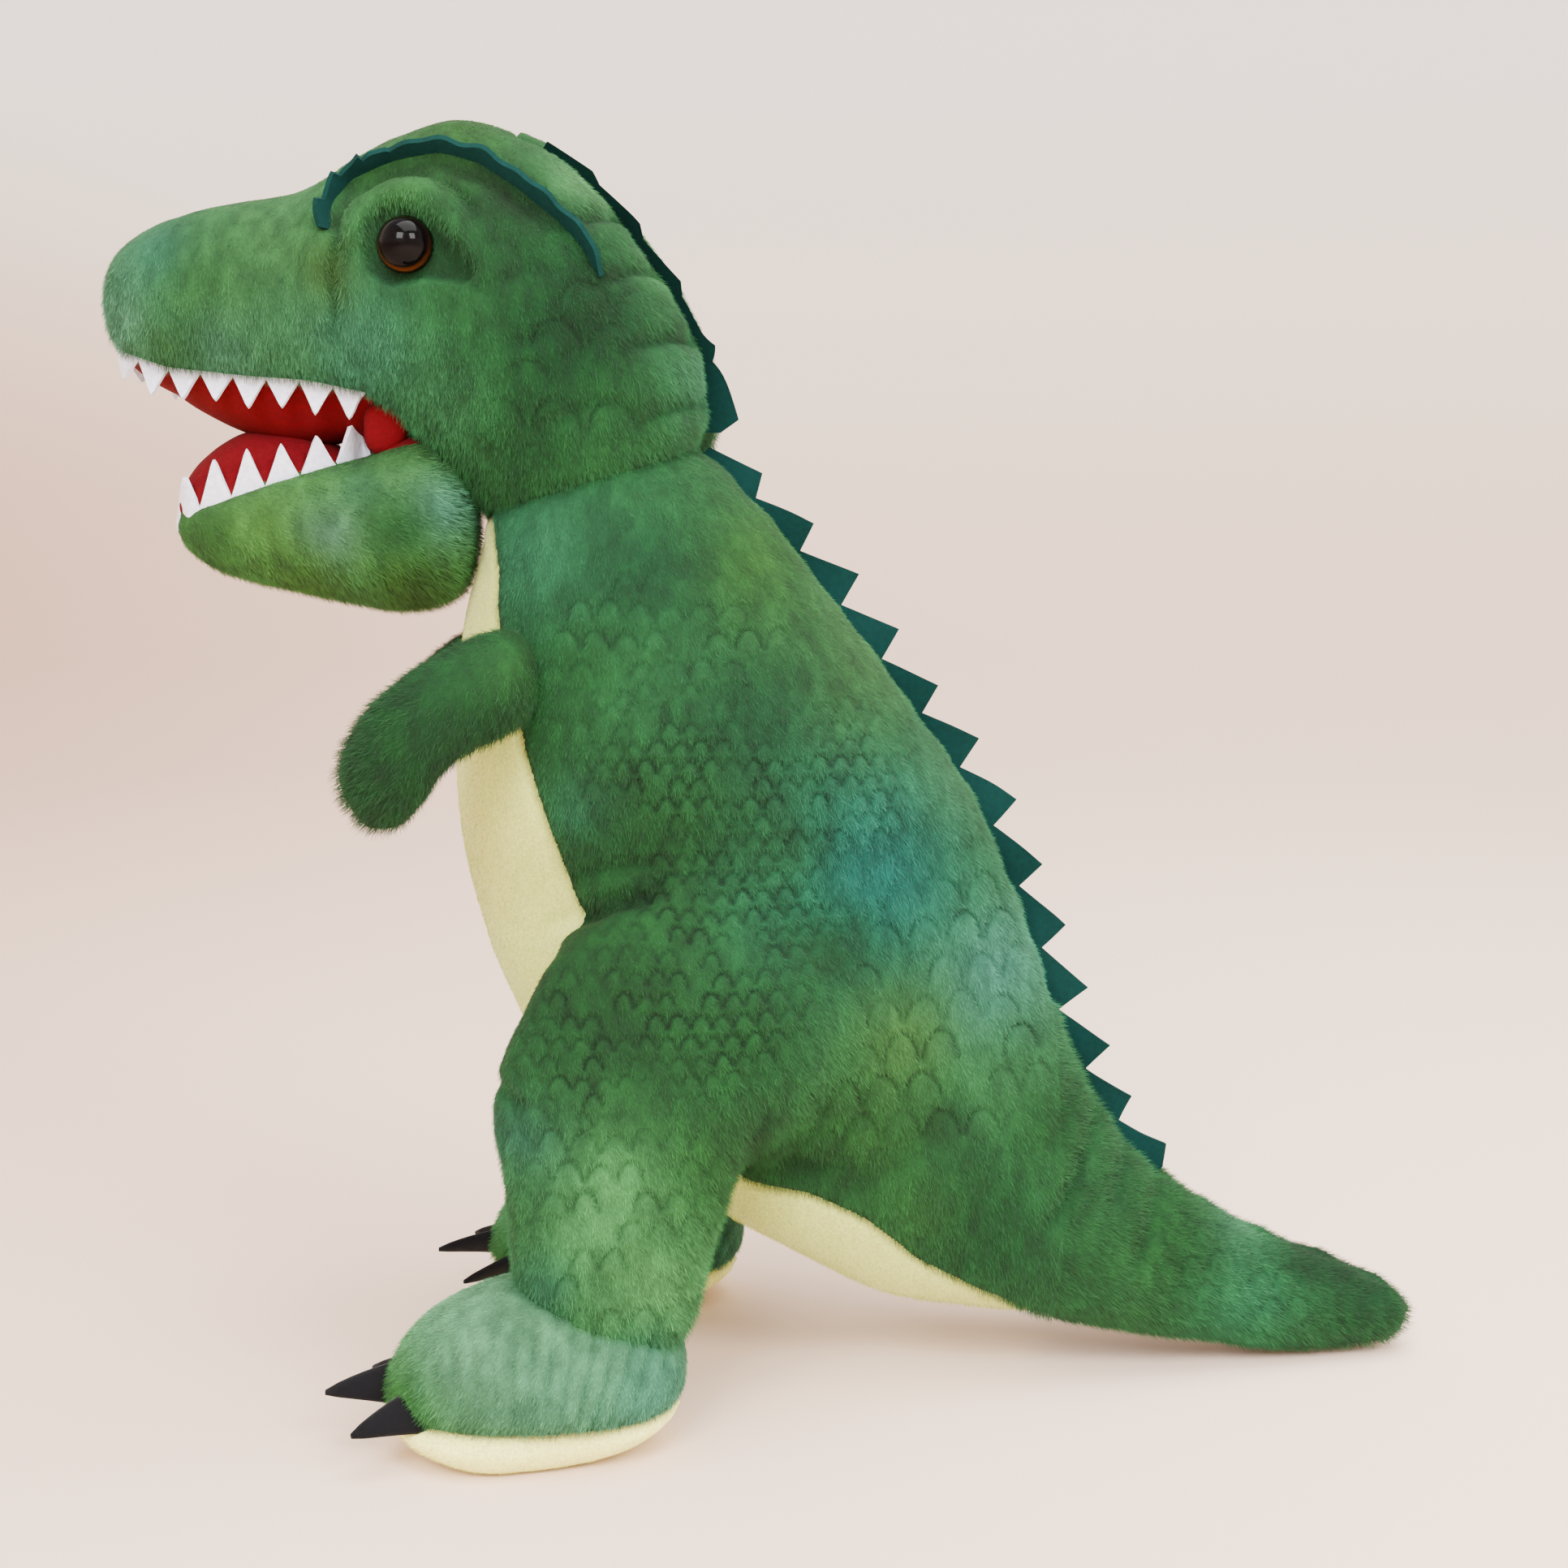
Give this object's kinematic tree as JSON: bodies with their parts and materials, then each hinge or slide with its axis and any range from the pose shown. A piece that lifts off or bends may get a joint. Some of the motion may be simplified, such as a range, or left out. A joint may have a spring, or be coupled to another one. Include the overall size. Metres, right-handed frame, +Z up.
{
  "type": "stuffed dinosaur toy",
  "caption": "Soft stuffed tyrannosaur toy that stands on its padded feet and tail, with an open felt-toothed mouth and a felt spike row.",
  "frame": {"origin": "centre of the bounding box at the bottom: the floor that the soles and the tail rest on, half way along and half way across", "axes": "+X towards the tail, so the toy faces -X; its left side is at -Y; +Z up"},
  "size_m": [0.316, 0.1466, 0.2925],
  "materials": {
    "green_plush": "short-pile plush, airbrushed in dark, mid, olive and teal greens, with embossed scales",
    "light_green_plush": "short-pile plush, light green",
    "yellow_plush": "shaved velboa, pale yellow",
    "green_felt": "pressed felt, dark teal green",
    "red_felt": "brushed felt, red",
    "white_felt": "stiff felt, white",
    "black_felt": "pressed felt, black",
    "eye_plastic": "polished moulded plastic with an amber rim",
    "washer_plastic": "moulded plastic, natural white",
    "stuffing": "polyester fibre filling"
  },
  "bodies": {
    "torso": {"body_skin_left": "green_plush", "body_skin_right": "green_plush", "belly_panel": "yellow_plush", "body_stuffing": "stuffing", "back_spikes": "green_felt"},
    "tail": {"tail_skin_left": "green_plush", "tail_skin_right": "green_plush", "tail_stuffing": "stuffing"},
    "head": {"head_skin_left": "green_plush", "head_skin_right": "green_plush", "palate_lining": "red_felt", "head_stuffing": "stuffing", "head_spikes": "green_felt", "upper_teeth_left": "white_felt", "upper_teeth_right": "white_felt", "brow_strip_left": "green_felt", "brow_strip_right": "green_felt", "eye_left": "eye_plastic", "eye_right": "eye_plastic", "eye_washer_left": "washer_plastic", "eye_washer_right": "washer_plastic"},
    "jaw": {"jaw_skin": "light_green_plush", "mouth_lining": "red_felt", "jaw_stuffing": "stuffing", "lower_teeth_left": "white_felt", "lower_teeth_right": "white_felt"},
    "arm_left": {"arm_skin_left": "green_plush", "arm_stuffing_left": "stuffing"},
    "arm_right": {"arm_skin_right": "green_plush", "arm_stuffing_right": "stuffing"},
    "leg_left": {"leg_skin_left": "green_plush", "leg_stuffing_left": "stuffing"},
    "leg_right": {"leg_skin_right": "green_plush", "leg_stuffing_right": "stuffing"},
    "foot_left": {"foot_upper_left": "light_green_plush", "foot_stuffing_left": "stuffing", "sole_left": "yellow_plush", "claws_left": "black_felt"},
    "foot_right": {"foot_upper_right": "light_green_plush", "foot_stuffing_right": "stuffing", "sole_right": "yellow_plush", "claws_right": "black_felt"}
  },
  "joints": [
    {"name": "neck_turn", "type": "hinge", "parent": "torso", "child": "head", "pos_m": [-0.047, 0, 0.2112], "axis": [-0.2873, 0, 0.9578], "range_deg": [-15, 15], "stiffness_Nm_per_rad": 0.4},
    {"name": "jaw_hinge", "type": "hinge", "parent": "head", "child": "jaw", "pos_m": [-0.093, 0, 0.221], "axis": [0, 1, 0], "range_deg": [-3, 10], "stiffness_Nm_per_rad": 0.5},
    {"name": "shoulder_left", "type": "hinge", "parent": "torso", "child": "arm_left", "pos_m": [-0.061, -0.0416, 0.168], "axis": [0, 1, 0], "range_deg": [-25, 45], "stiffness_Nm_per_rad": 0.2},
    {"name": "shoulder_right", "type": "hinge", "parent": "torso", "child": "arm_right", "pos_m": [-0.061, 0.0416, 0.168], "axis": [0, 1, 0], "range_deg": [-25, 45], "stiffness_Nm_per_rad": 0.2},
    {"name": "hip_left", "type": "hinge", "parent": "torso", "child": "leg_left", "pos_m": [-0.025, -0.034, 0.088], "axis": [0, 1, 0], "range_deg": [-10, 10], "stiffness_Nm_per_rad": 6},
    {"name": "hip_right", "type": "hinge", "parent": "torso", "child": "leg_right", "pos_m": [-0.025, 0.034, 0.088], "axis": [0, 1, 0], "range_deg": [-10, 10], "stiffness_Nm_per_rad": 6},
    {"name": "ankle_left", "type": "hinge", "parent": "leg_left", "child": "foot_left", "pos_m": [-0.0455, -0.05, 0.029], "axis": [0.3539, 0, 0.9353], "range_deg": [-12, 12], "stiffness_Nm_per_rad": 3},
    {"name": "ankle_right", "type": "hinge", "parent": "leg_right", "child": "foot_right", "pos_m": [-0.0295, 0.05, 0.029], "axis": [0.3539, 0, 0.9353], "range_deg": [-12, 12], "stiffness_Nm_per_rad": 3},
    {"name": "tail_wag", "type": "hinge", "parent": "torso", "child": "tail", "pos_m": [0.062, 0, 0.025], "axis": [0, 0, 1], "range_deg": [-15, 15], "stiffness_Nm_per_rad": 2}
  ]
}
